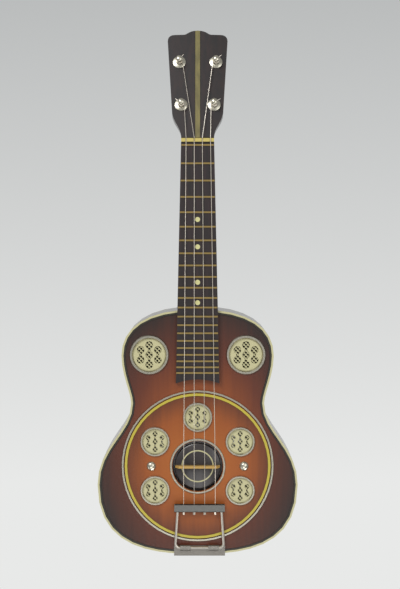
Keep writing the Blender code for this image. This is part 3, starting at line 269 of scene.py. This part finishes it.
FINISHES = {
    "soundboard": TOP,
    "cover_plate": COVER,
    # Lacquered dark woods: red brown under a clear shine
    "sides": wood("stained_sides", "#2c1411", "#41201a", 0.30, 0.6),
    "back_panel": wood("stained_back", "#3a1a12", "#522618", 0.30, 0.6),
    "neck": wood("stained_neck", "#241213", "#3a1e1a", 0.32, 0.5),
    "head_veneer": wood("head_veneer", "#120c0d", "#241412", 0.35, 0.2),
    "head_stripe": wood("maple_stripe", "#625a30", "#7d7340", 0.35, 0.5),
    # Oiled rosewood: finer grain and hardly any shine
    "fingerboard": wood("rosewood_board", "#140d0d", "#28181a", 0.50, 0.1, BOARD_GRAIN),
    # Raw wood inside: matt; the soundwell is coloured near black, which is painted shade of the
    # body's dark inside
    "neck_block": wood("raw_block", "#a98a5c", "#c8a878", 0.75, 0.0),
    "tail_block": wood("raw_tail_block", "#a98a5c", "#c8a878", 0.75, 0.0),
    # Painted shade: the soundwell's near-black colour stands for the shade inside the body
    "soundwell": wood("painted_shade_soundwell", "#1c1510", "#2a2018", 0.85, 0.0),
    "biscuit": wood("ebonised_biscuit", "#241f1f", "#332c2b", 0.40, 0.3),
    # Bone, gone yellow, and celluloid lines
    "saddle": plain("bone_saddle", "#b6924c", 0.42),
    "nut": plain("bone_nut", "#bfae62", 0.42),
    "top_binding": CREAM,
    "back_binding": CREAM,
    "top_purfling": plain("dark_purfling", "#26221a", 0.45),
    "cover_purfling": plain("yellow_purfling", "#b8a83a", 0.40),
    # Metal fittings: spun, bright drawn wire, and worn folded sheet
    "resonator_cone": metal("spun_aluminium", "#b8babc", 0.35),
    "tail_plate": metal("worn_end_plate", "#8d8982", 0.48, 0.5),
    "tail_bail": metal("bright_bail", "#efe9dc", 0.30),
    "tail_bar": metal("grey_tail_bar", "#6c6c69", 0.42, 0.3),
}

# Finishes of repeated nodes, by how their names begin
REPEATED_FINISHES = (
    ("string", STRING),
    ("upper_grille", CREAM),
    ("cover_grille", CREAM),
    ("peg_button", BUTTON),
)


def finish_for(name):
    """Finish of one CAD node; a fitting that isn't named is dull nickel."""
    if name in FINISHES:
        return FINISHES[name]
    for beginning, finish in REPEATED_FINISHES:
        if name.startswith(beginning):
            return finish
    return NICKEL


def plain_normals():
    """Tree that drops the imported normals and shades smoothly, in the modified copy only."""
    tree = bpy.data.node_groups.new("plain_normals", "GeometryNodeTree")
    for way in ("INPUT", "OUTPUT"):
        tree.interface.new_socket("Geometry", in_out=way, socket_type="NodeSocketGeometry")
    packed = node(tree, "NodeGroupInput")
    bare = node(tree, "GeometryNodeRemoveAttribute",
                {"Geometry": packed.outputs[0], "Name": "custom_normal"})
    smooth = node(tree, "GeometryNodeSetShadeSmooth", {"Geometry": bare.outputs[0]})
    node(tree, "NodeGroupOutput", {0: smooth.outputs[0]})
    return tree


PLAIN_NORMALS = plain_normals()


def smooth_over(obj):
    """Round stretches shade smoothly, and edges sharper than the limit stay crisp.

    Only modifiers do it, so the CAD mesh stays as it was loaded."""
    obj.modifiers.new("plain_normals", "NODES").node_group = PLAIN_NORMALS
    weld = obj.modifiers.new("weld", "WELD")
    weld.merge_threshold = WELD_REACH
    split = obj.modifiers.new("split", "EDGE_SPLIT")
    split.use_edge_sharp = False
    split.split_angle = SHARP_ANGLE


def dress_frame():
    """Give every CAD node its finish and smooth shading."""
    for name, obj in NODES.items():
        for place in obj.material_slots:
            place.material = finish_for(name)
        smooth_over(obj)


def add_piece(name, bm, mat, body):
    """Link a new piece that rides on a body."""
    bmesh.ops.recalc_face_normals(bm, faces=bm.faces)
    mesh = bpy.data.meshes.new(name)
    bm.to_mesh(mesh)
    bm.free()
    mesh.materials.append(mat)
    obj = bpy.data.objects.new(name, mesh)
    bpy.context.scene.collection.objects.link(obj)
    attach(obj, body)
    return obj


def fret_z(number):
    """Height of a fret, by equal semitones of the scale length."""
    return ZERO_FRET_Z - SCALE_LENGTH * (1.0 - 2.0 ** (-number / 12.0))


def add_box(bm, size, place):
    """Box of a size, centred on a placement."""
    bmesh.ops.create_cube(bm, size=1.0, matrix=place @ Matrix.Diagonal((*size, 1.0)))


def add_frets():
    """Bright crowns over the fretboard's frets."""
    low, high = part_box("fingerboard")
    narrow = (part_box("nut")[1][0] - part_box("nut")[0][0]) / 2.0
    wide = (high[0] - low[0]) / 2.0
    bm = bmesh.new()
    for number in range(FRET_COUNT + 1):
        z = fret_z(number)
        share = (high[2] - z) / (high[2] - low[2])
        half = narrow + (wide - narrow) * share - CROWN_INSET
        add_box(bm, (half * 2.0, CROWN_HEIGHT, CROWN_WIDTH),
                Matrix.Translation((0.0, low[1] + CROWN_HEIGHT / 2.0 - LIFT, z)))
    add_piece("fret_crowns", bm, BRASS, "body")


def add_dots():
    """Round dots halfway between two frets, set in the board's face."""
    face = front_of("fingerboard") + FRETS_PROUD
    bm = bmesh.new()
    for number in DOT_FRETS:
        z = (fret_z(number) + fret_z(number - 1)) / 2.0
        place = Matrix.Translation((0.0, face - LIFT, z)) @ Matrix.Rotation(math.pi / 2, 4, "X")
        bmesh.ops.create_cone(bm, cap_ends=True, segments=DOT_SIDES, radius1=DOT_RADIUS,
                              radius2=DOT_RADIUS, depth=LIFT * 2, matrix=place)
    add_piece("fret_dots", bm, plain("ivoroid_dots", "#c9c58c", 0.38), "body")


def add_inlay():
    """Flat cream ring just proud of the biscuit's face, spun from its section."""
    face = front_of("biscuit")
    inner = SADDLE.x + INLAY_RADIUS - INLAY_WIDTH / 2.0
    outer = SADDLE.x + INLAY_RADIUS + INLAY_WIDTH / 2.0
    bm = bmesh.new()
    section = [bm.verts.new((x, y, SADDLE.z)) for x, y in
               ((inner, face), (outer, face), (outer, face - LIFT), (inner, face - LIFT))]
    sides = [bm.edges.new(pair) for pair in zip(section, section[1:] + section[:1])]
    bmesh.ops.spin(bm, geom=section + sides, cent=(SADDLE.x, face, SADDLE.z), axis=(0, 1, 0),
                   angle=math.tau, steps=INLAY_STEPS, use_merge=True)
    add_piece("biscuit_inlay", bm, CREAM, "body")


def add_gauze(name):
    """Slanted gauze under one grille."""
    low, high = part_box(name)
    centre = centre_of(name)
    reach = (high[0] - low[0]) / 2.0 - GAUZE_INSET
    count = int(reach / GAUZE_PITCH)
    bm = bmesh.new()
    for layer, degrees in enumerate(GAUZE_SLANTS):
        level = high[1] + GAUZE_GAP + GAUZE_WIRE * (layer + 0.5)
        turn = Matrix.Translation((centre.x, level, centre.z)) @ Matrix.Rotation(
            math.radians(degrees), 4, "Y")
        width = GAUZE_WIDTH - GAUZE_WIRE * layer
        for i in range(-count, count + 1):
            aside = i * GAUZE_PITCH
            length = 2.0 * math.sqrt(reach * reach - aside * aside)
            add_box(bm, (length, GAUZE_WIRE, width), turn @ Matrix.Translation((0, 0, aside)))
    add_piece(name + "_gauze", bm, CREAM, "body")


def bend_strings():
    """Copies of the CAD strings, which run from the saddle down to the tailpiece, shown in place
    of the hidden CAD strings.
    """
    start = SADDLE.copy()
    for number in range(1, 5):
        name = f"string_{number}"
        obj = bpy.data.objects.new(name + "_wire", NODES[name].data.copy())
        bpy.context.scene.collection.objects.link(obj)
        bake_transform(obj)
        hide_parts(name)


def add_glowing_paper():
    """Paper far behind that glows though it is no lamp, its glow darkening slightly towards the
    top as painted shade.
    """
    mat, tree, shader = base("paper", "#000000", 1.0)
    shader.inputs["Specular IOR Level"].default_value = 0.0
    # Painted light: the paper glows by its own emission and is not lit by the lamps
    shader.inputs["Emission Strength"].default_value = 1.0
    place = node(tree, "ShaderNodeTexCoord")
    split = node(tree, "ShaderNodeSeparateXYZ", {"Vector": place.outputs["Object"]})
    fade = node(tree, "ShaderNodeMapRange",
                {"Value": split.outputs["Z"], "From Min": PAPER_LOW, "From Max": PAPER_HIGH})
    ramp = node(tree, "ShaderNodeValToRGB", {"Fac": fade.outputs["Result"]})
    for stop, colour in zip(ramp.color_ramp.elements, PAPER_GLOW_COLOURS):
        stop.color = linear(colour)
    tree.links.new(ramp.outputs["Color"], shader.inputs["Emission Color"])
    bm = bmesh.new()
    add_box(bm, PAPER_SIZE, Matrix.Translation((0, PAPER_AWAY, 0)))
    mesh = bpy.data.meshes.new("backdrop")
    bm.to_mesh(mesh)
    bm.free()
    mesh.materials.append(mat)
    backdrop = bpy.data.objects.new("backdrop", mesh)
    bpy.context.scene.collection.objects.link(backdrop)


def aimed(place):
    """Placement at a point that looks at what the camera looks at."""
    look = (Vector(CAMERA_AIM) - Vector(place)).to_track_quat("-Z", "Y")
    return Matrix.Translation(place) @ look.to_matrix().to_4x4()


def add_lamp(name, place, watts, side):
    """Square soft lamp in front of the object."""
    data = bpy.data.lights.new(name, "AREA")
    data.energy = watts
    data.size = side
    lamp = bpy.data.objects.new(name, data)
    lamp.matrix_world = aimed(place)
    bpy.context.scene.collection.objects.link(lamp)


def add_world():
    """Even pale light from all round."""
    world = bpy.data.worlds.new("studio")
    world.use_nodes = True
    around = world.node_tree.nodes["Background"]
    around.inputs["Color"].default_value = linear(WORLD_COLOUR)
    around.inputs["Strength"].default_value = WORLD_STRENGTH
    bpy.context.scene.world = world


def add_camera():
    """Camera at the photograph's place and angle."""
    data = bpy.data.cameras.new("camera")
    data.sensor_fit = "VERTICAL"
    data.angle = CAMERA_ANGLE
    camera = bpy.data.objects.new("camera", data)
    camera.matrix_world = aimed(CAMERA_PLACE)
    scene = bpy.context.scene
    scene.collection.objects.link(camera)
    scene.camera = camera
    scene.view_settings.view_transform = "Standard"


add_camera()
add_glowing_paper()
dress_frame()
add_frets()
add_dots()
add_inlay()
bend_strings()
for word in ("left", "right"):
    add_gauze(f"upper_grille_{word}")
for number in range(1, 6):
    add_gauze(f"cover_grille_{number}")
for lamp in LAMPS:
    add_lamp(*lamp)
add_world()
